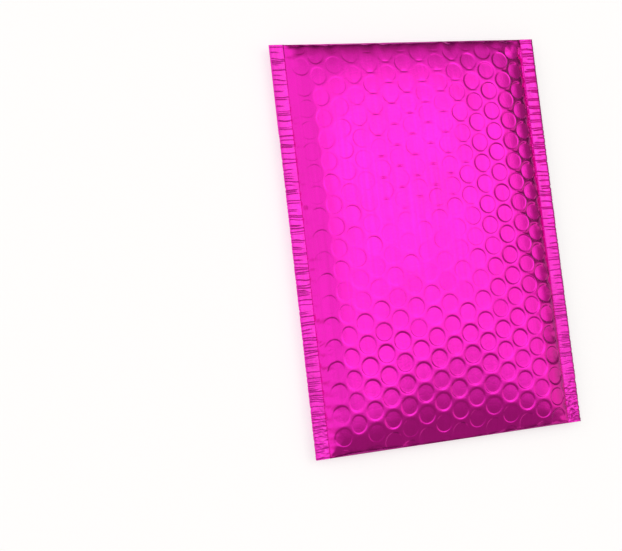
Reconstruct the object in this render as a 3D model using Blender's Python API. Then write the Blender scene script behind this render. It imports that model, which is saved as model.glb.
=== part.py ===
"""A padded bubble mailer in metallic film, closed and lying on its flap side.

One sheet of film backed with bubble wrap is folded across the bottom, sealed down both sides and
closed by a flap that folds over the top, so the whole mailer is one piece. Metres, +Z up. The
origin is on the table under the middle of the mailer, +Y points to the end that the flap closes,
and the plain face looks up.
"""

import math

import bmesh
import bpy
from mathutils import Vector
from mathutils.geometry import delaunay_2d_cdt

MM = 0.001

# Outside sizes of the closed mailer.
WIDTH = 165.0 * MM
LENGTH = 228.0 * MM
THICKNESS = 14.0 * MM

# The crimped seals down the two long sides.
SEAL_WIDTH = 8.0 * MM
SEAL_THICKNESS = 0.8 * MM
SEAL_HEIGHT = 6.0 * MM  # the seal's middle above the table
RIB_PITCH = 6.0 * MM
RIB_HEIGHT = 0.18 * MM  # from the seal's middle to a crest

# The bubble wrap that shows through the film as round dimples.
BUBBLE_DIAMETER = 10.0 * MM
BUBBLE_GAP = 2.0 * MM  # between neighbours
BUBBLE_SHIFT = -1.1 * MM  # how far the wrap lies off the middle, across the mailer
DIMPLE_DEPTH = 0.5 * MM
DIMPLE_WALL = 0.9 * MM  # how far the wall leans in from rim to floor
FIRST_BUBBLE = 4.5 * MM  # from the bottom fold to a bubble of the column right of the middle
EDGE_MARGIN = 0.2 * MM  # least plain film between a seal and a whole dimple
FOLD_MARGIN = 5.0 * MM  # least plain film between a fold and a whole dimple

# The flap, folded over the top end and stuck to the underside.
FLAP_LENGTH = 50.0 * MM
FLAP_THICKNESS = 0.5 * MM
FLAP_EDGE_SLOPE = 0.3 * MM
FLAP_RAMP = 30.0 * MM  # the stretch over which the panel rises to meet the flap's edge

# The pillow's sections. The power says how flat one is, and the root how upright its edge is: with
# power 2 and root 0.5 it is an ellipse. The plain face is blown up squarer on its left.
TOP_LEFT_POWER = 20.0
TOP_RIGHT_POWER = 10.0
TOP_SIDE_ROOT = 1.0
TOP_BULGE = 0.12  # share of the face's rise that is an even bulge from side to side
TOP_BOTTOM_END_POWER = 7.0
TOP_FLAP_END_POWER = 6.0
UNDER_POWER = 6.0
FLAP_TENT_POWER = 5.0
FLAP_TENT_ROOT = 0.8
UNDER_PRESS = 1.06  # presses the crown of the underside flat on the table

# How closely the mesh follows the plain stretches.
EDGE_STEP = 16.0 * MM
SEAL_SHOULDER = 1.2 * MM  # from the seal to the first row of points on the body
FOLD_ROWS = (0.8 * MM, 4.0 * MM)  # rows of points that round the fold
POINT_GAP = 0.4 * MM  # closest that a plain point comes to a dimple

HALF_WIDTH = WIDTH / 2
HALF_LENGTH = LENGTH / 2
BODY_HALF_WIDTH = HALF_WIDTH - SEAL_WIDTH
SEAL_TOP = SEAL_HEIGHT + SEAL_THICKNESS / 2
SEAL_UNDER = SEAL_HEIGHT - SEAL_THICKNESS / 2
FLAP_EDGE = HALF_LENGTH - FLAP_LENGTH
BUBBLE_PITCH = BUBBLE_DIAMETER + BUBBLE_GAP
COLUMN_STEP = BUBBLE_PITCH * math.sqrt(3) / 2
# A hexagon with the area of the round bubble.
RIM_RADIUS = BUBBLE_DIAMETER / 2 * math.sqrt(2 * math.pi / (3 * math.sqrt(3)))
FLOOR_RADIUS = RIM_RADIUS - DIMPLE_WALL

FILM_COLOUR = (0.95, 0.04, 0.66, 1.0)
FILM_ROUGHNESS = 0.28
SHARP_ANGLE = math.radians(40)


def clear_scene():
    for obj in list(bpy.data.objects):
        bpy.data.objects.remove(obj)


def rounded(share, power, root=0.5):
    """A section's height at this share of its half width: 1 in the middle, 0 at the edge."""
    return max(0.0, 1.0 - abs(share) ** power) ** root


def rib_height(x, y):
    """How far the crimp lifts or lowers both sides of a seal, which makes ribs across it."""
    if abs(x) < BODY_HALF_WIDTH - SEAL_SHOULDER / 2:
        return 0.0
    share = (y + HALF_LENGTH) / RIB_PITCH % 1.0
    return RIB_HEIGHT * (1.0 - 4.0 * abs(share - 0.5))


def top_height(x, y):
    """The plain face over a point, with its dimples left out."""
    share = x / BODY_HALF_WIDTH
    side_power = TOP_RIGHT_POWER if x > 0 else TOP_LEFT_POWER
    bulge = TOP_BULGE * rounded(share, 2.0, TOP_SIDE_ROOT)
    across = (1.0 - TOP_BULGE) * rounded(share, side_power, TOP_SIDE_ROOT) + bulge
    end_power = TOP_FLAP_END_POWER if y > 0 else TOP_BOTTOM_END_POWER
    along = rounded(y / HALF_LENGTH, end_power)
    return SEAL_TOP + (THICKNESS - SEAL_TOP) * across * along + rib_height(x, y)


def under_height(x, y):
    """The underside as the table presses it, with neither dimples nor flap."""
    across = rounded(x / BODY_HALF_WIDTH, UNDER_POWER)
    along = rounded(y / HALF_LENGTH, UNDER_POWER)
    return SEAL_UNDER * (1.0 - min(1.0, UNDER_PRESS * across * along))


def panel_height(x, y):
    """The underside's bubbled panel, which rises by the flap's thickness to meet the flap."""
    share = min(1.0, max(0.0, (y - FLAP_EDGE + FLAP_RAMP) / FLAP_RAMP))
    risen = FLAP_THICKNESS * share * share * (3 - 2 * share)
    return max(under_height(x, y), risen) + rib_height(x, y)


def flap_height(x, y):
    """The flap's outer face, stretched like a tent from the body to the outer edges of the seals."""
    across = rounded(x / HALF_WIDTH, FLAP_TENT_POWER, FLAP_TENT_ROOT)
    along = rounded(y / HALF_LENGTH, UNDER_POWER)
    tent = SEAL_UNDER * (1.0 - min(1.0, UNDER_PRESS * across * along))
    return max(0.0, min(tent, under_height(x, y)) - FLAP_THICKNESS)


def bubble_centres(under):
    """Where the whole dimples of one face are. The wrap runs on round the bottom fold."""
    columns = int(BODY_HALF_WIDTH / COLUMN_STEP) + 2
    rows = int(LENGTH / BUBBLE_PITCH) + 2
    reach_x = BODY_HALF_WIDTH - EDGE_MARGIN - RIM_RADIUS
    low = -HALF_LENGTH + FOLD_MARGIN + BUBBLE_DIAMETER / 2
    plain_end = FLAP_EDGE if under else HALF_LENGTH
    high = plain_end - FOLD_MARGIN - BUBBLE_DIAMETER / 2
    centres = []
    for column in range(-columns, columns + 1):
        x = BUBBLE_SHIFT + (column + 0.5) * COLUMN_STEP
        for row in range(-rows, rows + 1):
            along_sheet = FIRST_BUBBLE + (row + 0.5 * (column % 2)) * BUBBLE_PITCH
            if (along_sheet < 0) != under:
                continue
            y = -HALF_LENGTH + abs(along_sheet)
            if abs(x) <= reach_x and low <= y <= high:
                centres.append((x, y))
    return centres


def evenly(low, high, step):
    """Values from low to high, both included, about a step apart."""
    count = max(1, round((high - low) / step))
    return [low + (high - low) * i / count for i in range(count + 1)]


class FlatPattern:
    """Points and lines of one face laid flat, before they are triangulated and raised."""

    def __init__(self):
        self.points = []
        self.depths = []
        self.lines = []

    def add_line(self, points, depth=0.0, closed=False):
        first = len(self.points)
        for x, y in points:
            self.points.append(Vector((x, y)))
            self.depths.append(depth)
        last = len(self.points) - 1
        self.lines += [(i, i + 1) for i in range(first, last)]
        if closed:
            self.lines.append((last, first))

    def add_dimple(self, centre):
        for radius, depth in ((RIM_RADIUS, 0.0), (FLOOR_RADIUS, DIMPLE_DEPTH)):
            corners = [math.radians(60 * i) for i in range(6)]
            ring = [
                (centre[0] + radius * math.cos(a), centre[1] + radius * math.sin(a))
                for a in corners
            ]
            self.add_line(ring, depth, closed=True)


def seal_rows():
    """Every crest and trough of the crimp between the ends, and the two lines of the flap's edge."""
    step = RIB_PITCH / 2
    flap_lines = [FLAP_EDGE - FLAP_EDGE_SLOPE, FLAP_EDGE]
    ribs = [-HALF_LENGTH + step * i for i in range(1, math.ceil(LENGTH / step))]
    apart = [y for y in ribs if min(abs(y - line) for line in flap_lines) > FLAP_EDGE_SLOPE]
    inside = [y for y in apart if y < HALF_LENGTH - FLAP_EDGE_SLOPE]
    return sorted(inside + flap_lines)


def outline():
    """The mailer's outer edge, once round."""
    across = [-HALF_WIDTH, *evenly(-BODY_HALF_WIDTH, BODY_HALF_WIDTH, EDGE_STEP), HALF_WIDTH]
    bottom = [(x, -HALF_LENGTH) for x in across]
    right = [(HALF_WIDTH, y) for y in seal_rows()]
    top = [(-x, HALF_LENGTH) for x in across]
    left = [(-HALF_WIDTH, y) for y in reversed(seal_rows())]
    return bottom + right + top + left


def clear_of(points, centres):
    """Runs of points that keep off the dimples, so that a line breaks where one is in its way."""
    runs, run = [], []
    for x, y in points:
        near = any(math.hypot(x - a, y - b) < RIM_RADIUS + POINT_GAP for a, b in centres)
        if near:
            runs.append(run)
            run = []
        else:
            run.append((x, y))
    return [r for r in runs + [run] if r]


def flat_face(under):
    """One face of the mailer laid flat."""
    pattern = FlatPattern()
    pattern.add_line(outline(), closed=True)
    centres = bubble_centres(under)
    for centre in centres:
        pattern.add_dimple(centre)
    shoulder_rows = evenly(-HALF_LENGTH, HALF_LENGTH, EDGE_STEP)[1:-1]
    for side in (-1, 1):
        pattern.add_line([(side * BODY_HALF_WIDTH, y) for y in seal_rows()])
        shoulder = side * (BODY_HALF_WIDTH - SEAL_SHOULDER)
        for run in clear_of([(shoulder, y) for y in shoulder_rows], centres):
            pattern.add_line(run)
    body_columns = evenly(-BODY_HALF_WIDTH + EDGE_STEP / 2, BODY_HALF_WIDTH - EDGE_STEP / 2, EDGE_STEP)
    rows = [end * (HALF_LENGTH - inset) for end in (-1, 1) for inset in FOLD_ROWS]
    for y in rows:
        for run in clear_of([(x, y) for x in body_columns], centres):
            pattern.add_line(run)
    if under:
        for y in (FLAP_EDGE - FLAP_EDGE_SLOPE, FLAP_EDGE):
            points = [(side * HALF_WIDTH, y) for side in (-1, 1)]
            points[1:1] = [(x, y) for x in evenly(-BODY_HALF_WIDTH, BODY_HALF_WIDTH, EDGE_STEP)]
            pattern.add_line(points)
        flap_rows = evenly(FLAP_EDGE, HALF_LENGTH - max(FOLD_ROWS), EDGE_STEP)[1:-1]
        for y in flap_rows:
            pattern.add_line([(x, y) for x in body_columns])
    return pattern


def raise_point(x, y, depth, under):
    """A flat point in its place on the mailer. A dimple goes in, towards the other face."""
    if not under:
        return Vector((x, y, top_height(x, y) - depth))
    on_flap = y > FLAP_EDGE - FLAP_EDGE_SLOPE / 2
    return Vector((x, y, (flap_height(x, y) if on_flap else panel_height(x, y)) + depth))


def add_face(mesh, under):
    """Triangulates one face, raises it into the mesh and returns the edges of its outline."""
    pattern = flat_face(under)
    points, _, triangles, origins, _, _ = delaunay_2d_cdt(
        pattern.points, pattern.lines, [], 0, 1e-7
    )
    verts = []
    for point, origin in zip(points, origins):
        depth = max((pattern.depths[i] for i in origin), default=0.0)
        verts.append(mesh.verts.new(raise_point(point.x, point.y, depth, under)))
    for triangle in triangles:
        corners = reversed(triangle) if under else triangle
        mesh.faces.new([verts[i] for i in corners])
    new = set(verts)
    return [edge for edge in mesh.edges if edge.is_boundary and edge.verts[0] in new]


def film_material():
    material = bpy.data.materials.new("metallic_film")
    material.use_nodes = True
    shader = material.node_tree.nodes["Principled BSDF"]
    shader.inputs["Base Color"].default_value = FILM_COLOUR
    shader.inputs["Metallic"].default_value = 1.0
    shader.inputs["Roughness"].default_value = FILM_ROUGHNESS
    return material


def make_mailer(collection):
    """Both faces, bridged round the outline into one closed piece."""
    mesh = bmesh.new()
    top_edges = add_face(mesh, under=False)
    under_edges = add_face(mesh, under=True)
    bmesh.ops.bridge_loops(mesh, edges=top_edges + under_edges)
    bmesh.ops.recalc_face_normals(mesh, faces=mesh.faces)
    data = bpy.data.meshes.new("bubble_mailer")
    mesh.to_mesh(data)
    mesh.free()
    data.shade_smooth()
    data.set_sharp_from_angle(angle=SHARP_ANGLE)
    data.materials.append(film_material())
    mailer = bpy.data.objects.new("bubble_mailer", data)
    collection.objects.link(mailer)
    return mailer


def main():
    clear_scene()
    collection = bpy.data.collections.new("bubble_mailer")
    bpy.context.scene.collection.children.link(collection)
    make_mailer(collection)


main()
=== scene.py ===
# %% [markdown]
# # A metallic bubble mailer
#
# A padded mailer is one sheet of shiny film with bubble wrap stuck behind it. The sheet is folded
# across the bottom, sealed down both sides with a hot ribbed bar, and closed by a flap. We model
# the film itself: a plain face with round dimples, the back, two crimped seals and the flap.
#
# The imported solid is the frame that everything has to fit. It gives the outside size, and each
# piece below takes its place from it.

# %% Load the frame
import math

import bmesh
import bpy
import numpy as np
from mathutils import Matrix, Vector


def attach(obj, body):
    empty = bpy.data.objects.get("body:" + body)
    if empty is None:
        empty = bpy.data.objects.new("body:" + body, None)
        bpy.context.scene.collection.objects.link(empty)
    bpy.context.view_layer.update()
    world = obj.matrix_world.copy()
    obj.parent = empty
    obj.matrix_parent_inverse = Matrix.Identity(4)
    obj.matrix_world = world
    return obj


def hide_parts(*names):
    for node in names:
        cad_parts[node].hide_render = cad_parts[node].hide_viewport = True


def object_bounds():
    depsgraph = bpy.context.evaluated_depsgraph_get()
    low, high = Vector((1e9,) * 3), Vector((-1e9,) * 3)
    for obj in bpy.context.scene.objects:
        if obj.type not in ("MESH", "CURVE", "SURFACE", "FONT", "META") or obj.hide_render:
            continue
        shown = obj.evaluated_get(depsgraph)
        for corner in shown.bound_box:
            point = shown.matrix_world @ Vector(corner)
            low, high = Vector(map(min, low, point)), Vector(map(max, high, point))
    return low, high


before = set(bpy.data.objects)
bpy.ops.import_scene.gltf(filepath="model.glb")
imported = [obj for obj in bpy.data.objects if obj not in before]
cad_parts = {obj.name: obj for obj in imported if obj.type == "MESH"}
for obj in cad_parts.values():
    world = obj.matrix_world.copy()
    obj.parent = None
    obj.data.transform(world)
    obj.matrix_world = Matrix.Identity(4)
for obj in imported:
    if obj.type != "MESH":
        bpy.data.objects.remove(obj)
cad_low, cad_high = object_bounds()
SOLID = "bubble_mailer"
BODY = "root"

MM = 0.001
WIDTH, LENGTH, THICKNESS = cad_high - cad_low
HALF_WIDTH = WIDTH / 2
HALF_LENGTH = LENGTH / 2
print(f"mailer {WIDTH / MM:.0f} by {LENGTH / MM:.0f} by {THICKNESS / MM:.0f} mm")

# %% [markdown]
# ## The pillow
#
# Air and bubbles hold the two panels apart, and the seals pull them together. A superellipse
# describes such a section well: flat in the middle, and steeper the closer it comes to the edge.
# Its power says how flat it is and its root how upright the edge is. This mailer is fuller on its
# left, where the face stays level to the last bubble and then drops. On the right it slopes. The
# bottom is a round fold, and rounder in its middle than near the seals. Multiplying the section
# across by the section along pinches the corners, as a real mailer does.

# %% Sizes of the body, the seals and the flap
SEAL_WIDTH = 8.0 * MM
SEAL_THICKNESS = 0.8 * MM
SEAL_HEIGHT = 6.0 * MM
BODY_HALF = HALF_WIDTH - SEAL_WIDTH
FLAP_LENGTH = 50.0 * MM
FLAP_THICKNESS = 0.5 * MM
FLAP_EDGE = HALF_LENGTH - FLAP_LENGTH
print(f"the body is {2 * BODY_HALF / MM:.0f} mm wide between its seals")

# %% Sections of the face and the back
RIGHT_POWER = 10.0
LEFT_POWER = 15.0
TOP_POWER = 6.0
FOLD_POWERS = (5.5, 12.5)
FOLD_ROOTS = (0.8, 0.5)
FOLD_SIDES = (15 * MM, 65 * MM)
BULGE = 0.12
BACK_POWER = 6.0
UNDER_PRESS = 1.06
LIFT_LENGTH = 30 * MM


def section(share, power, root=0.5):
    """1 in the middle and 0 at the edges, where the share is 1 or -1. Root 0.5 is a superellipse."""
    return np.clip(1.0 - np.abs(share) ** power, 0.0, 1.0) ** root


def smooth(low, high, value):
    """0 below low, 1 above high and a smooth step between them."""
    share = np.clip((value - low) / (high - low), 0.0, 1.0)
    return share * share * (3.0 - 2.0 * share)


def between(pair, share):
    """From the pair's first number to its second, as the share goes from 0 to 1."""
    return pair[0] + (pair[1] - pair[0]) * share


def face_height(x, y):
    """The plain face with no dimples."""
    share = x / BODY_HALF
    firm = np.where(x > 0, section(share, RIGHT_POWER, 1.0), section(share, LEFT_POWER, 1.0))
    across = (1.0 - BULGE) * firm + BULGE * section(share, 2.0, 1.0)
    side = smooth(*FOLD_SIDES, np.abs(x))
    fold = section(y / HALF_LENGTH, between(FOLD_POWERS, side), between(FOLD_ROOTS, side))
    along = np.where(y > 0, section(y / HALF_LENGTH, TOP_POWER), fold)
    return SEAL_HEIGHT + (THICKNESS - SEAL_HEIGHT) * across * along


def back_height(x, y):
    """The back as the table presses it. It lifts by the flap's thickness to pass under the flap."""
    crown = UNDER_PRESS * section(x / BODY_HALF, BACK_POWER) * section(y / HALF_LENGTH, BACK_POWER)
    pressed = SEAL_HEIGHT * (1.0 - np.minimum(1.0, crown))
    return np.maximum(pressed, FLAP_THICKNESS * smooth(FLAP_EDGE - LIFT_LENGTH, FLAP_EDGE, y))


print(f"the face is {face_height(0.0, 0.0) / MM:.1f} mm above the table in the middle")

# %% [markdown]
# ## Where the bubbles are
#
# The bubbles stand in columns, each half a pitch off its neighbour, so every one has six
# neighbours. To find a point's bubble we look in the two nearest columns and take the nearer
# middle. A table of random numbers, drawn once, gives each bubble three of its own, so that no
# two look quite alike. Beside the left seal the face drops, and the wrap's last column is crowded
# towards the middle. A few rounds of guessing undo that shift before we look.

# %% Bubble layout
BUBBLE_PITCH = 12.0 * MM
COLUMN_STEP = BUBBLE_PITCH * math.sqrt(3) / 2
BUBBLE_SHIFT = -1.1 * MM
FIRST_BUBBLE = 4.5 * MM
CROWDING = 2.2 * MM
CROWDED_FROM = (57 * MM, 69 * MM)
DICE_SIDE = 64

dice = np.random.default_rng(4).uniform(-1.0, 1.0, (DICE_SIDE, DICE_SIDE, 3))


def crowded(x):
    """How far the wrap's column at this X lies towards the middle, beside the left seal."""
    return CROWDING * smooth(*CROWDED_FROM, -x)


def column_x(column):
    """The middle of a column of bubbles."""
    return BUBBLE_SHIFT + (column + 0.5) * COLUMN_STEP


def first_y(column):
    """The middle of the first bubble in a column."""
    return -HALF_LENGTH + FIRST_BUBBLE + 0.5 * BUBBLE_PITCH * (column % 2)


def offset(x, y, column):
    """Offset from the nearest bubble in a column, and that bubble's row."""
    row = np.round((y - first_y(column)) / BUBBLE_PITCH).astype(int)
    return x - column_x(column), y - first_y(column) - row * BUBBLE_PITCH, row


def nearest_bubble(x, y):
    """Offset from the nearest bubble's middle, and that bubble's own three random numbers."""
    even_x = x
    for _ in range(5):
        even_x = x - crowded(even_x)
    column = np.floor((even_x - BUBBLE_SHIFT) / COLUMN_STEP - 0.5).astype(int)
    left_x, left_y, left_row = offset(even_x, y, column)
    right_x, right_y, right_row = offset(even_x, y, column + 1)
    nearer = np.hypot(right_x, right_y) < np.hypot(left_x, left_y)
    left_luck = dice[column % DICE_SIDE, left_row % DICE_SIDE]
    right_luck = dice[(column + 1) % DICE_SIDE, right_row % DICE_SIDE]
    luck = np.where(nearer[..., None], right_luck, left_luck)
    return np.where(nearer, right_x, left_x), np.where(nearer, right_y, left_y), luck


print(f"columns {COLUMN_STEP / MM:.2f} mm apart, bubbles {BUBBLE_PITCH / MM:.1f} mm apart")

# %% [markdown]
# ## How tight the film is
#
# Each bubble is glued to the film at its flat top, so the film shows a flat disc there and rises
# to a rounded web between the discs. Where the face is stretched tight, in the middle, the web
# hardly shows. Where it bends away, on the right and at both ends, the web stands up. Each pair
# below says where such a bend starts and where it is full, measured from the middle.

# %% Tightness
BEND_RIGHT = (5 * MM, 52 * MM)
BEND_LOW = (15 * MM, 75 * MM)
BEND_TOP = (45 * MM, 95 * MM)
BEND_LEFT = (20 * MM, 60 * MM)
FIRM_LOW_LEFT = (35 * MM, 65 * MM)


def tightness(x, y):
    """How far the web is pulled flat: 1 in the tight middle of the face, less towards its edges."""
    lower = smooth(*BEND_LOW, -y) * (1.0 - 0.55 * smooth(*FIRM_LOW_LEFT, -x))
    bends = np.maximum(smooth(*BEND_RIGHT, x), lower)
    bends = np.maximum(bends, 0.1 * smooth(*BEND_TOP, y))
    return 1.0 - np.maximum(bends, 0.2 * smooth(*BEND_LEFT, -x))


print(f"tightness in the middle {tightness(0.0, 0.0):.2f}, near the fold {tightness(0.0, -0.09):.2f}")

# %% [markdown]
# ## The dimples
#
# A dimple is two smooth steps: a wide low one for the web and a narrow one for the disc's rim.
# Real discs don't lie level, so each tilts a little its own way, and those on the slope beside
# the right seal lean. In the upper middle the tight film shows only a short tuck at each disc's
# lower rim. Bubbles that the seals cut through are flattened, so they are left out, and the
# dimples fade at the panel's edges.

# %% Dimples
DISC_RADIUS = 4.9 * MM
WEB_RADIUS = 6.4 * MM
WEB_HEIGHT = 0.15 * MM
STEP_WIDTH = 0.8 * MM
STEP_HEIGHT = 0.17 * MM
UNEVEN_DEPTH = 0.2
DISC_TILT = 0.013
SIDE_LEAN = 0.19
TUCK_DEPTH = 0.17 * MM
TUCK_SIZE = (3.0 * MM, 0.4 * MM)
TUCK_FROM = (-5 * MM, 35 * MM)
TUCK_LEFT = (-45 * MM, -25 * MM)
TUCK_RIGHT = (32 * MM, 48 * MM)
PULLED_FLAT = 0.82
LEFT_COLUMN = (60 * MM, 66 * MM)
RIGHT_COLUMN = (58 * MM, 64 * MM)
RIGHT_COLUMN_FROM = (-75 * MM, -45 * MM)
SIDE_FADE = (0.2 * MM, 1.5 * MM)
TOP_FADE = (3.0 * MM, 10.0 * MM)
FOLD_FADE = (1.0 * MM, 5.0 * MM)


def tuck(off_x, off_y, x, y):
    """The short tuck at a disc's lower rim, in the upper middle of the face."""
    wide, high = TUCK_SIZE
    mark = TUCK_DEPTH * np.exp(-(((off_y + DISC_RADIUS) / high) ** 2) - (off_x / wide) ** 2)
    mark = mark * smooth(*TUCK_FROM, y)
    return mark * smooth(*TUCK_LEFT, x) * (1.0 - smooth(*TUCK_RIGHT, x))


def dimple(x, y):
    """How deep the film lies under the webs' crests. It fades out at the seals and the folds."""
    off_x, off_y, luck = nearest_bubble(x, y)
    gap = np.hypot(off_x, off_y)
    web = 1.0 - smooth(DISC_RADIUS - STEP_WIDTH, WEB_RADIUS, gap)
    step = 1.0 - smooth(DISC_RADIUS - STEP_WIDTH / 2, DISC_RADIUS + STEP_WIDTH / 2, gap)
    loose = 1.0 - PULLED_FLAT * tightness(x, y) + 0.2 * smooth(*LEFT_COLUMN, off_x - x)
    beside = smooth(*RIGHT_COLUMN, x - off_x) * smooth(*RIGHT_COLUMN_FROM, y - off_y)
    depth = (WEB_HEIGHT * web + STEP_HEIGHT * step) * (1.0 + UNEVEN_DEPTH * luck[..., 0])
    depth = depth * (loose + 0.8 * beside)
    tilt = DISC_TILT * (luck[..., 1] * off_x + luck[..., 2] * off_y) - SIDE_LEAN * beside * off_x
    whole = 1.0 - smooth(BODY_HALF - 2 * MM, BODY_HALF + 1 * MM, np.abs(x - off_x))
    fade = whole * smooth(*SIDE_FADE, BODY_HALF - np.abs(x))
    fade = fade * smooth(*TOP_FADE, HALF_LENGTH - y) * smooth(*FOLD_FADE, HALF_LENGTH + y)
    return (depth + tilt * step + tuck(off_x, off_y, x, y)) * fade


probe_x = np.linspace(30 * MM, 50 * MM, 81)
probe_depth = dimple(probe_x, np.full(81, -30 * MM))
print(f"dimples on the right are up to {probe_depth.max() / MM:.2f} mm deep")

# %% [markdown]
# ## The ledge at the upper right
#
# There the face ends in a ledge: the film drops just past the last whole column of discs, follows
# their round edges, and tucks in between the next bubbles where the seal grips it.

# %% Ledge
LEDGE_COLUMN = 5
LEDGE_DEPTH = 0.75 * MM
LEDGE_DROP = (5.15 * MM, 6.1 * MM)
LEDGE_TURN = (0.3 * MM, 2.3 * MM)
LEDGE_FROM = (-45 * MM, -5 * MM)
LEDGE_END = (3 * MM, 9 * MM)
SEAL_GRIP = (0.05 * MM, 0.4 * MM)
POCKET_DEPTH = 0.6 * MM
POCKET_PLACE = 5.9 * MM
POCKET_SIZE = (0.6 * MM, 2.6 * MM)


def ledge(x, y):
    """How far the film drops past the last whole column, and tucks in beside the seal."""
    off_x, off_y, _ = offset(x, y, np.full(np.shape(x), LEDGE_COLUMN))
    past = smooth(*LEDGE_DROP, np.hypot(off_x, off_y)) * smooth(*LEDGE_TURN, off_x)
    off_x, off_y, _ = offset(x, y, np.full(np.shape(x), LEDGE_COLUMN + 1))
    wide, high = POCKET_SIZE
    pocket = np.exp(-(((off_x - POCKET_PLACE) / wide) ** 2) - (off_y / high) ** 2)
    held = smooth(*SEAL_GRIP, BODY_HALF - x)
    held = held * smooth(*LEDGE_END, HALF_LENGTH - np.abs(y))
    return (LEDGE_DEPTH * past + POCKET_DEPTH * pocket) * held * smooth(*LEDGE_FROM, y)


print(f"the ledge follows the discs {column_x(LEDGE_COLUMN) / MM:.1f} mm right of the middle")

# %% [markdown]
# ## Slack in the film
#
# Film is never perfectly taut. It wanders slowly over the whole panel, puckers beside the seals
# because the crimp shortens them, gathers at the ends, and crumples at the corners. Each kind is a
# sum of a few sine waves in random directions, which gives a smooth random surface from very
# little code, and always the same one from the same seed. Two marks are placed one by one: a long
# crease beside the left seal, and a patch of fine wrinkles below it.

# %% Random waves
def waves(height, length, x, y, seed, stretch=1.0):
    """Smooth random bumps about this high and this far apart. Stretch draws them out in Y."""
    rng = np.random.default_rng(seed)
    count = 10
    total = np.zeros(np.shape(x))
    for _ in range(count):
        angle, phase = rng.uniform(0.0, 2.0 * math.pi, 2)
        turns = 2.0 * math.pi / (length * rng.uniform(0.7, 1.4))
        total += np.sin(turns * (math.cos(angle) * x + math.sin(angle) * y / stretch) + phase)
    return height * total / math.sqrt(count)


sample = waves(1.0, 10 * MM, np.linspace(0.0, LENGTH, 500), 0.0, seed=1)
print(f"random waves of height 1 run from {sample.min():.1f} to {sample.max():.1f}")

# %% Slack
WANDER = (0.18 * MM, 45 * MM)
PUCKER = (0.26 * MM, 7 * MM)
FINE_PUCKER = (0.12 * MM, 3.2 * MM)
GATHER = (0.24 * MM, 9 * MM)
WRINKLES = (0.16 * MM, 3.6 * MM)
CRUMPLE = (0.26 * MM, 11 * MM)
PUCKER_REACH = 3.5 * MM
FINE_REACH = 2.2 * MM
GATHER_REACH = 3.5 * MM
CORNER_REACH = 9 * MM
LONG_CREASE = 0.28 * MM
LONG_CREASE_X = -71.8 * MM
LONG_CREASE_WIDTH = 0.45 * MM
WRINKLED_AT = (-70.5 * MM, -62 * MM)
WRINKLED_SIZE = (3.5 * MM, 22 * MM)


def edge_slack(x, y, to_seal, to_end):
    """Puckers beside the seals, gathers at the ends and a crumple at each corner."""
    pucker = waves(*PUCKER, 0.3 * x, y, seed=2) * np.exp(-to_seal / PUCKER_REACH)
    pucker += waves(*FINE_PUCKER, 0.3 * x, y, seed=6) * np.exp(-to_seal / FINE_REACH)
    gather = waves(*GATHER, x, 0.3 * y, seed=3) * np.exp(-to_end / GATHER_REACH)
    gather *= 1.0 + smooth(0.0, 50 * MM, y)
    corner = np.exp(-np.hypot(to_seal, to_end) / CORNER_REACH)
    return pucker + gather - np.abs(waves(*CRUMPLE, x, y, seed=5)) * corner


def marks(x, y):
    """The long crease beside the left seal, and the patch of fine wrinkles below it."""
    beside = np.exp(-(((x - LONG_CREASE_X) / LONG_CREASE_WIDTH) ** 2))
    beside = beside * smooth(-60 * MM, -30 * MM, y) * (1.0 - smooth(30 * MM, 60 * MM, y))
    (patch_x, patch_y), (wide, high) = WRINKLED_AT, WRINKLED_SIZE
    patch = np.exp(-(((x - patch_x) / wide) ** 2) - ((y - patch_y) / high) ** 2)
    return LONG_CREASE * beside + np.abs(waves(*WRINKLES, x, y, seed=9)) * patch


def slack(x, y):
    """How far the film stands off its taut form."""
    to_seal = BODY_HALF - np.abs(x)
    to_end = HALF_LENGTH - np.abs(y)
    wander = waves(*WANDER, x, y, seed=1, stretch=2.0)
    held = smooth(0.0, 1.5 * MM, np.minimum(to_seal, to_end))
    return (wander + edge_slack(x, y, to_seal, to_end) - marks(x, y)) * held


print(f"in the middle the film stands {slack(0.0, 0.0) / MM:.2f} mm off its taut form")

# %% [markdown]
# ## A mesh that follows the bubbles
#
# A square grid fine enough for round dimples would need far too many faces. Instead we tile the
# panel with hexagons, one to a bubble, each made of rings. The rings crowd together where the
# dimple's wall is and spread out elsewhere. Neighbouring hexagons share their outer points, so
# they weld into one sheet. Blender's bisect tool then trims the sheet to the panel and adds extra
# lines near its edges, where the pillow turns sharply.

# %% One bubble's cell
RING_SIDES = 36
RINGS = [r * MM for r in (2.4, 4.2, 4.5, 4.75, 5.0, 5.25, 5.6)]


def cell_template():
    """One bubble's cell round the origin: its points, and its faces as rows of four or three."""
    turn = np.arange(RING_SIDES) * 2.0 * math.pi / RING_SIDES
    border = BUBBLE_PITCH / 2 / np.cos(turn % (math.pi / 3) - math.pi / 6)
    radii = [np.full(RING_SIDES, r) for r in RINGS] + [border]
    rings = [np.column_stack([r * np.cos(turn), r * np.sin(turn)]) for r in radii]
    points = np.vstack([[[0.0, 0.0]], *rings])
    faces = []
    for i in range(RING_SIDES):
        j = (i + 1) % RING_SIDES
        faces.append([0, 1 + i, 1 + j])
        for ring in range(len(rings) - 1):
            inner, outer = 1 + ring * RING_SIDES, 1 + (ring + 1) * RING_SIDES
            faces.append([inner + i, outer + i, outer + j, inner + j])
    return points, faces


print(f"a bubble's cell has {len(cell_template()[1])} faces")

# %% A trimmed sheet of cells
EDGE_LINES = [d * MM for d in (0.12, 0.4, 0.8, 1.4, 2.1, 2.7, 3.3)]


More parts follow.
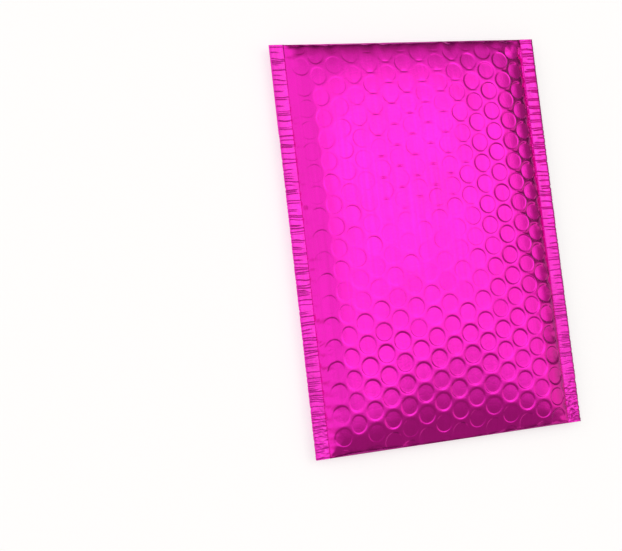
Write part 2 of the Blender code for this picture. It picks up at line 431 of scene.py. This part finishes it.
def trim(mesh, low_y, high_y):
    """Cuts a flat sheet to the body's width and from low_y to high_y, with lines near the cuts."""
    cuts = [(Vector((side, 0, 0)), BODY_HALF) for side in (-1, 1)]
    cuts += [(Vector((0, -1, 0)), -low_y), (Vector((0, 1, 0)), high_y)]
    for normal, reach in cuts:
        for inset in [0.0, *EDGE_LINES]:
            bmesh.ops.bisect_plane(
                mesh,
                geom=mesh.verts[:] + mesh.edges[:] + mesh.faces[:],
                dist=0.001 * MM,
                plane_co=normal * (reach - inset),
                plane_no=normal,
                clear_outer=inset == 0.0,
            )


def bubble_sheet(low_y, high_y):
    """A flat sheet of bubble cells, trimmed to the body's width and from low_y to high_y."""
    points, faces = cell_template()
    columns = int(BODY_HALF / COLUMN_STEP) + 2
    rows = int(LENGTH / BUBBLE_PITCH) + 3
    all_points, all_faces = [], []
    for column in range(-columns, columns):
        if abs(column_x(column)) > BODY_HALF + BUBBLE_PITCH:
            continue
        for row in range(-2, rows):
            y = first_y(column) + row * BUBBLE_PITCH
            if not low_y - BUBBLE_PITCH < y < high_y + BUBBLE_PITCH:
                continue
            first = len(all_points) * len(points)
            all_points.append(points + (column_x(column), y))
            all_faces += [[first + i for i in face] for face in faces]
    flat = np.vstack(all_points)
    flat[:, 0] += crowded(flat[:, 0])
    data = bpy.data.meshes.new("sheet")
    data.from_pydata(np.column_stack([flat, np.zeros(len(flat))]).tolist(), [], all_faces)
    mesh = bmesh.new()
    mesh.from_mesh(data)
    bpy.data.meshes.remove(data)
    bmesh.ops.remove_doubles(mesh, verts=mesh.verts, dist=0.01 * MM)
    trim(mesh, low_y, high_y)
    return mesh


print(f"sheets get {len(EDGE_LINES)} extra lines along each edge")

# %% [markdown]
# ## From a flat sheet to a piece
#
# A sheet is first lifted to the pillow's height. Then each point moves along the surface's own
# normal by the relief, so that the dimples on the slopes stay true. The normal comes from the
# height itself, measured a little to either side of the point.

# %% Raise a sheet, and make a piece of it
PROBE_STEP = 0.2 * MM


def raised(mesh, height, relief, facing):
    """Lifts a flat sheet to the height, then moves each point along the normal by the relief."""
    x, y = np.array([v.co[:2] for v in mesh.verts]).T
    step = PROBE_STEP
    inner_x = np.clip(x, -BODY_HALF + 2 * step, BODY_HALF - 2 * step)
    inner_y = np.clip(y, -HALF_LENGTH + 2 * step, HALF_LENGTH - 2 * step)
    slope_x = (height(inner_x + step, inner_y) - height(inner_x - step, inner_y)) / (2 * step)
    slope_y = (height(inner_x, inner_y + step) - height(inner_x, inner_y - step)) / (2 * step)
    normal = np.column_stack([-slope_x, -slope_y, np.ones(len(x))]) * facing
    normal /= np.linalg.norm(normal, axis=1)[:, None]
    placed = np.column_stack([x, y, height(x, y)]) + normal * relief(x, y)[:, None]
    for vert, co in zip(mesh.verts, placed):
        vert.co = co
    return mesh


def as_object(mesh, name, material):
    """A smooth-shaded piece of the mailer that rides on its body and stands for the solid."""
    bmesh.ops.recalc_face_normals(mesh, faces=mesh.faces)
    data = bpy.data.meshes.new(name)
    mesh.to_mesh(data)
    mesh.free()
    data.shade_smooth()
    data.materials.append(material)
    piece = bpy.data.objects.new(name, data)
    bpy.context.scene.collection.objects.link(piece)
    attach(piece, BODY)
    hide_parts(SOLID)
    triangles = sum(len(p.vertices) - 2 for p in data.polygons)
    print(f"{name}: {triangles} triangles")
    return piece


print(f"slopes are measured {PROBE_STEP / MM:.1f} mm to either side")

# %% [markdown]
# ## Shader maths as Python
#
# A node tree for a formula is hard to read, and easy to write as the formula itself. This class
# wraps one output socket. Arithmetic on it adds Math nodes, and its node method adds any other
# kind: settings first, then values or links for the sockets.

# %% A socket that does arithmetic
class Wire:
    """One output of a node tree. Arithmetic on it adds Math nodes."""

    def __init__(self, tree, socket=None):
        self.tree = tree
        self.socket = socket

    def node(self, kind, settings=None, inputs=None, output=0):
        """Adds a node and returns one of its outputs as a wire."""
        made = self.tree.nodes.new(kind)
        for name, value in (settings or {}).items():
            if name == "stops":
                self.set_stops(made.color_ramp.elements, value)
            else:
                setattr(made, name, value)
        for name, value in (inputs or {}).items():
            if isinstance(value, Wire):
                self.tree.links.new(value.socket, made.inputs[name])
            else:
                made.inputs[name].default_value = value
        return Wire(self.tree, made.outputs[output] if len(made.outputs) else None)

    @staticmethod
    def set_stops(elements, stops):
        """Gives a colour ramp its grey stops."""
        while len(elements) < len(stops):
            elements.new(1.0)
        for element, (position, level) in zip(elements, stops):
            element.position = position
            element.color = (level, level, level, 1.0)

    def math(self, operation, *values):
        """Adds a Math node on numbers and wires."""
        return self.node("ShaderNodeMath", {"operation": operation}, dict(enumerate(values)))

    def __add__(self, other):
        return self.math("ADD", self, other)

    def __mul__(self, other):
        return self.math("MULTIPLY", self, other)

    def __sub__(self, other):
        return self.math("SUBTRACT", self, other)

    def __rsub__(self, other):
        return self.math("SUBTRACT", other, self)

    __radd__ = __add__
    __rmul__ = __mul__


def new_material(name):
    """An empty material, and a wire to start its nodes from."""
    material = bpy.data.materials.new(name)
    material.use_nodes = True
    material.node_tree.nodes.clear()
    return material, Wire(material.node_tree)


print("wires add, subtract and multiply")

# %% [markdown]
# ## The film
#
# The film is aluminium vapour under a magenta lacquer on clear polyester. So the metal gives a
# coloured reflection, and the polyester's own surface adds a faint white one over it, which is
# what a coat layer is for. The lacquer is brushed very finely along the web, and the film has
# tiny random creases. Both are too small for geometry, so they are bump. In the seals the film has
# been melted, so it is paler, rougher and more creased.

# %% Metallic film
FILM_COLOURS = ((0.76, 0.004, 0.42, 1.0), (0.89, 0.005, 0.52, 1.0))
SEALED_COLOURS = ((0.74, 0.02, 0.42, 1.0), (0.93, 0.02, 0.60, 1.0))
STREAK_SCALES = (520.0, 18.0, 60.0)
CLOUD_SCALE = 38.0
CREASE_SCALE = 210.0
GRAIN_SCALE = 750.0


def noise(place, scale, detail):
    """Smooth noise from 0 to 1."""
    return place.node(
        "ShaderNodeTexNoise", inputs={"Vector": place, "Scale": scale, "Detail": detail}
    )


def film_material(name, colours, roughness, crumple):
    """Coloured metal under a clear coat. Its two colours are those of its cloudy and its clear
    places, and crumple says how strong the fine creases are."""
    material, tree = new_material(name)
    place = tree.node("ShaderNodeTexCoord", output="Object")
    drawn_out = tree.node("ShaderNodeMapping", inputs={"Vector": place, "Scale": STREAK_SCALES})
    streaks = noise(drawn_out, 1.0, 2.0)
    cloud = noise(place, CLOUD_SCALE, 3.0)
    grain = noise(place, GRAIN_SCALE, 2.0)
    creases = tree.node(
        "ShaderNodeTexVoronoi",
        {"feature": "DISTANCE_TO_EDGE"},
        {"Vector": place, "Scale": CREASE_SCALE},
        output="Distance",
    )
    crease_line = tree.node(
        "ShaderNodeValToRGB", {"stops": [(0.0, 0.0), (0.12, 1.0)]}, {"Fac": creases}
    )
    colour_mix = tree.node(
        "ShaderNodeMix",
        {"data_type": "RGBA"},
        {0: 1.0 - cloud * 0.6 - (streaks - 0.5) * 1.2, 6: colours[0], 7: colours[1]},
        output=2,
    )
    relief = streaks * 0.5 + crease_line * crumple + cloud * 0.6 + grain * 0.4
    bump = tree.node(
        "ShaderNodeBump", inputs={"Strength": 0.25, "Distance": 0.12 * MM, "Height": relief}
    )
    shader = tree.node(
        "ShaderNodeBsdfPrincipled",
        inputs={
            "Base Color": colour_mix,
            "Metallic": 1.0,
            "Roughness": roughness + (cloud - 0.5) * 0.16 + (streaks - 0.5) * 0.08,
            "Coat Weight": 0.4,
            "Coat Roughness": 0.12,
            "Coat IOR": 1.5,
            "Normal": bump,
        },
    )
    tree.node("ShaderNodeOutputMaterial", inputs={"Surface": shader})
    return material


film = film_material("metallic_film", FILM_COLOURS, roughness=0.20, crumple=0.3)
seal_film = film_material("sealed_film", SEALED_COLOURS, roughness=0.30, crumple=1.0)
print("film material:", len(film.node_tree.nodes), "nodes")

# %% [markdown]
# ## The plain face
#
# Now the pieces. The face is a bubble sheet over the full length, with the slack, the dimples and
# the ledge as its relief.

# %% Face panel
def face_relief(x, y):
    """The face above or below its taut form."""
    return slack(x, y) - dimple(x, y) - ledge(x, y)


face = raised(bubble_sheet(-HALF_LENGTH, HALF_LENGTH), face_height, face_relief, 1)
face_panel = as_object(face, "face_panel", film)

# %% [markdown]
# ## The back
#
# The back has the same bubbles, up to where the flap covers them. The table presses it flat, so
# the relief only ever goes up into the mailer and never through the table.

# %% Back panel
UNDER_FLAP = 4 * MM


def back_relief(x, y):
    """The back's relief. Slack shows only where the back is off the table."""
    lifted = smooth(0.0, 1.5 * MM, back_height(x, y) - FLAP_THICKNESS)
    return slack(x, y) * lifted - np.maximum(0.0, dimple(x, y))


back = raised(bubble_sheet(-HALF_LENGTH, FLAP_EDGE + UNDER_FLAP), back_height, back_relief, -1)
back_panel = as_object(back, "back_panel", film)

# %% [markdown]
# ## The crimped seals
#
# A ribbed bar melts the two panels together and leaves uneven creases across the strip: here
# close together, there far apart, some of them slanting. We draw the creases one by one with a
# random step, each a narrow groove that is deepest at the outer edge and ends somewhere inside.
# They are pressed into a strip that has both its faces, so that they show on the front and on the
# back. The upper part of the right seal is under stress, so its creases are deeper, and the film
# wrinkles at both lower ends.

# %% Creases of a seal
GROOVE_GAPS = (0.9 * MM, 4.0 * MM)
GROOVE_DEPTH = (0.13 * MM, 0.32 * MM)
GROOVE_WIDTH = 0.2 * MM


def grooves(seed):
    """Each crease down a seal: its middle, slant, depth, width and where it ends inside."""
    rng = np.random.default_rng(seed)
    made = []
    y = -HALF_LENGTH + rng.uniform(*GROOVE_GAPS) / 2
    while y < HALF_LENGTH:
        slant, width, end = rng.uniform((-0.06, 0.6, -0.6), (0.06, 1.3, 0.5))
        made.append((y, slant, rng.uniform(*GROOVE_DEPTH), width * GROOVE_WIDTH, end))
        y += between(GROOVE_GAPS, rng.uniform(0, 1) ** 2)
    return made


def seal_relief(across, y, seed, stress):
    """The seal's middle surface above its plane; across runs from 0 inside to 1 outside."""
    over = across * SEAL_WIDTH
    wander = waves(0.25 * MM, 9 * MM, over, y, seed=seed + 50)
    total = np.zeros(np.shape(y))
    for middle, slant, depth, width, end in grooves(seed):
        off = (y + wander - middle - slant * (over - SEAL_WIDTH / 2)) / width
        reach = smooth(end - 0.15, end + 0.25, across)
        total -= depth * np.exp(-off * off) * reach * (0.7 + 0.3 * across)
    total *= 1.0 + stress * smooth(-20 * MM, 70 * MM, y)
    low_end = 1.0 - smooth(8 * MM, 34 * MM, y + HALF_LENGTH)
    wrinkled = (0.10 + 0.10 * stress) * MM
    total -= np.abs(waves(wrinkled, 4 * MM, over, y, seed=seed + 51)) * low_end
    return total + waves(0.05 * MM, 9 * MM, over, y, seed=seed + 52)


LEFT_SEED, RIGHT_SEED = 11, 12
print(f"{len(grooves(LEFT_SEED))} creases on the left and {len(grooves(RIGHT_SEED))} on the right")

# %% Side seals
SEAL_ROW = 0.12 * MM
SEAL_COLUMNS = 12
SEAL_OVERLAP = 0.4 * MM
EDGE_WAVE = (0.15 * MM, 3 * MM)


def closed_strip(x, y, low, high):
    """A closed shell from four grids of numbers: its X, its Y and the heights of its two faces."""
    mesh = bmesh.new()
    rows, wide = x.shape
    for z in (low, high):
        verts = [mesh.verts.new(co) for co in np.stack([x, y, z], axis=-1).reshape(-1, 3)]
        for row in range(rows - 1):
            for at in range(row * wide, row * wide + wide - 1):
                mesh.faces.new([verts[i] for i in (at, at + 1, at + wide + 1, at + wide)])
    bmesh.ops.bridge_loops(mesh, edges=[e for e in mesh.edges if e.is_boundary])
    return mesh


def side_seal(side, seed, stress):
    """A closed strip from just inside the body to the outer edge, which is thin and a bit wavy."""
    rows = int(LENGTH / SEAL_ROW)
    across, y = np.meshgrid(
        np.linspace(0.0, 1.0, SEAL_COLUMNS + 1), np.linspace(-HALF_LENGTH, HALF_LENGTH, rows + 1)
    )
    middle = SEAL_HEIGHT + seal_relief(across, y, seed, stress)
    half = SEAL_THICKNESS / 2 * np.sqrt(np.clip(1.0 - across**16, 0.02, 1.0))
    inner = BODY_HALF - SEAL_OVERLAP
    outer = HALF_WIDTH - np.abs(waves(*EDGE_WAVE, 0.0 * y, y, seed=seed + 53))
    return closed_strip(side * (inner + (outer - inner) * across), y, middle - half, middle + half)


left_seal = as_object(side_seal(-1, LEFT_SEED, stress=0.1), "left_seal", seal_film)
right_seal = as_object(side_seal(1, RIGHT_SEED, stress=2.2), "right_seal", seal_film)

# %% [markdown]
# ## The flap
#
# The flap is the one part of the sheet with no bubbles behind it. It folds over the top end and
# is stuck to the back across the full width, so it spans from the body to the outer edges of the
# seals like a tent.

# %% Flap
FLAP_FILM = 0.3 * MM


def flap_height(x, y):
    """The flap's outer face."""
    tent = section(x / HALF_WIDTH, 5.0, 0.8)
    along = section(y / HALF_LENGTH, BACK_POWER)
    stretched = SEAL_HEIGHT * (1.0 - np.minimum(1.0, UNDER_PRESS * tent * along))
    return np.maximum(0.0, np.minimum(stretched, back_height(x, y)) - FLAP_THICKNESS)


def closing_flap():
    """A closed sheet whose lower face is the flap's outer face."""
    x, y = np.meshgrid(
        np.linspace(-HALF_WIDTH, HALF_WIDTH, 121), np.linspace(FLAP_EDGE, HALF_LENGTH, 51)
    )
    outer = flap_height(x, y)
    return closed_strip(x, y, outer, outer + FLAP_FILM)


flap = as_object(closing_flap(), "closing_flap", film)

# %% [markdown]
# ## The floor
#
# A plain pale floor takes the soft shadow. It lies a hair under the mailer, because two faces in
# one plane flicker. A little glow of its own makes it white to the camera. The film mirrors that
# glow only in the floor on the mailer's left and above the bottom fold. This is a painted reflection
# that lights the film's left wall. Beside the right seal and past the bottom fold it mirrors the
# floor without its glow, so the painted reflection leaves the film's edges dark there.

# %% Floor
FLOOR_HALF = 4.0
FLOOR_GAP = 0.05 * MM
FLOOR_GLOW = 0.58

floor_data = bpy.data.meshes.new("floor")
floor_mesh = bmesh.new()
bmesh.ops.create_grid(floor_mesh, x_segments=1, y_segments=1, size=FLOOR_HALF)
floor_mesh.to_mesh(floor_data)
floor_mesh.free()
floor = bpy.data.objects.new("floor", floor_data)
bpy.context.scene.collection.objects.link(floor)
floor.location.z = -FLOOR_GAP

paint, tree = new_material("floor_paint")
camera_ray = tree.node("ShaderNodeLightPath", output="Is Camera Ray")
glossy_ray = tree.node("ShaderNodeLightPath", output="Is Glossy Ray")
place = tree.node("ShaderNodeTexCoord", output="Object")
floor_x, floor_y = (
    tree.node("ShaderNodeSeparateXYZ", inputs={"Vector": place}, output=i) for i in range(2)
)
# Painted reflection: to glossy rays the floor glows only on the mailer's left and above the bottom
# fold. The film therefore mirrors a bright floor on its left and a dark one beside its right seal and
# past the fold.
painted_reflection_left = tree.node(
    "ShaderNodeMapRange", inputs={"Value": floor_x, "From Min": 0.05, "From Max": -0.08}
)
painted_reflection_above_fold = tree.node(
    "ShaderNodeMapRange", inputs={"Value": floor_y, "From Min": -0.115, "From Max": -0.095}
)
matt = tree.node(
    "ShaderNodeBsdfPrincipled",
    inputs={
        "Base Color": (0.6, 0.6, 0.6, 1.0),
        "Roughness": 0.9,
        # The glow seen by the camera keeps the floor white. The glow seen by glossy rays is the
        # painted reflection in the film.
        "Emission Color": camera_ray + glossy_ray * painted_reflection_left * painted_reflection_above_fold,
        "Emission Strength": FLOOR_GLOW,
    },
)
tree.node("ShaderNodeOutputMaterial", inputs={"Surface": matt})
floor_data.materials.append(paint)
print(f"floor {2 * FLOOR_HALF:.0f} m wide, {FLOOR_GAP / MM:.2f} mm under the mailer")

# %% [markdown]
# ## Light
#
# Metal shows what it reflects, so the room matters as much as the lamp. The world is that room. We
# measure each direction by two angles from straight up, one to the right and one to the top, and
# build the light from smooth steps and bumps in them:
#
# - a soft source where the camera sees it mirrored in the middle of the face,
# - a paler field round it, which fills the face,
# - a second, low light past the right side, for the column beside the right seal,
# - a dim horizon, which tints the ends,
# - a window on the left, for the left wall, and
# - a light past the bottom end, which only a view from behind mirrors.
#
# The camera itself sees plain white, so that the background stays white.

# %% Angles and steps
world = bpy.data.worlds.new("studio")
bpy.context.scene.world = world
world.use_nodes = True
world.node_tree.nodes.clear()
sky = Wire(world.node_tree)
direction = sky.node("ShaderNodeTexCoord", output="Generated")
to_right, to_top, upward = (
    sky.node("ShaderNodeSeparateXYZ", inputs={"Vector": direction}, output=i) for i in range(3)
)
DEGREE = 180.0 / math.pi
right_angle = sky.math("ARCTAN2", to_right, upward) * DEGREE
top_angle = sky.math("ARCSINE", to_top) * DEGREE


def ramp(angle, start, end, low=0.0, high=1.0):
    """A smooth step from low to high while the angle goes from start to end."""
    limits = {"From Min": start, "From Max": end, "To Min": low, "To Max": high}
    return angle.node(
        "ShaderNodeMapRange", {"interpolation_type": "SMOOTHSTEP"}, {"Value": angle, **limits}
    )


def bump_over(angle, middle, spread):
    """1 where the angle is the middle, falling to 0 on either side."""
    off = (angle - middle) * (1.0 / spread)
    return off.math("EXPONENT", off * off * -1.0)


print("angles:", len(world.node_tree.nodes), "nodes")

# %% World
field = ramp(right_angle, 54.0, 30.0) * ramp(top_angle, -22.0, -1.0) * ramp(top_angle, 62.0, 22.0)
fill = field * ramp(right_angle, 18.0, -20.0, 0.55, 0.75)
source = bump_over(right_angle, 24.5, 16.0) * bump_over(top_angle, 9.0, 13.0)
second = ramp(right_angle, 98.0, 84.0) * ramp(right_angle, 32.0, 46.0)
second = second * ramp(top_angle, 4.5, -2.5) * ramp(top_angle, -24.0, -11.0)
horizon = ramp(right_angle, 88.0, 62.0)
horizon = horizon * ramp(top_angle, 80.0, 45.0) * ramp(top_angle, -80.0, -45.0)
window = ramp(right_angle, -20.0, -55.0) * (1.0 - field)
window = window * ramp(top_angle, 85.0, 60.0) * ramp(top_angle, -85.0, -60.0)
far_end = ramp(right_angle, 58.0, 69.0) * ramp(right_angle, 92.0, 80.0)
far_end = far_end * ramp(top_angle, -62.0, -53.0) * ramp(top_angle, -24.0, -40.0)
far_end = far_end + ramp(right_angle, 20.0, 5.0) * ramp(top_angle, -52.0, -68.0)
level = 0.06 + horizon * 0.26 + fill + source * 0.95 + second * 0.6 + window * 0.45
level = level + far_end * 0.5
tint = sky.node(
    "ShaderNodeMix",
    {"data_type": "RGBA"},
    {0: field, 6: (1.0, 0.86, 0.80, 1.0), 7: (1.0, 1.0, 1.0, 1.0)},
    output=2,
)
room_light = sky.node("ShaderNodeBackground", inputs={"Color": tint, "Strength": level})
white = {"Color": (1.0, 1.0, 1.0, 1.0), "Strength": 1.0}
backdrop = sky.node("ShaderNodeBackground", inputs=white)
from_camera = sky.node("ShaderNodeLightPath", output="Is Camera Ray")
surface = sky.node("ShaderNodeMixShader", inputs={0: from_camera, 1: room_light, 2: backdrop})
sky.node("ShaderNodeOutputWorld", inputs={"Surface": surface})
print("world:", len(world.node_tree.nodes), "nodes")

# %% [markdown]
# ## Camera
#
# The camera stands where the photograph was taken, in the mailer's own frame: above the face and
# to its left. A camera looks along its own -Z with +Y up, so its axes are built from the view
# direction and an up vector.

# %% Camera
CAMERA_PLACE = Vector((-276.2, -53.0, 589.3)) * MM
VIEW = Vector((0.3279, 0.0623, -0.9427)).normalized()
UP = Vector((0.0873, 0.9916, 0.0959))
camera_data = bpy.data.cameras.new("camera")
camera_data.lens = 65.7
camera_data.sensor_width = 36.0
camera_data.clip_start = 0.01
camera_data.clip_end = 50.0
camera = bpy.data.objects.new("camera", camera_data)
bpy.context.scene.collection.objects.link(camera)
right = VIEW.cross(UP).normalized()
up = right.cross(VIEW)
turned = Matrix((right, up, -VIEW)).transposed().to_4x4()
camera.matrix_world = Matrix.Translation(CAMERA_PLACE) @ turned
bpy.context.scene.camera = camera
bpy.context.scene.view_settings.view_transform = "Standard"
print(f"the camera is {CAMERA_PLACE.length / MM:.0f} mm from the middle of the mailer")
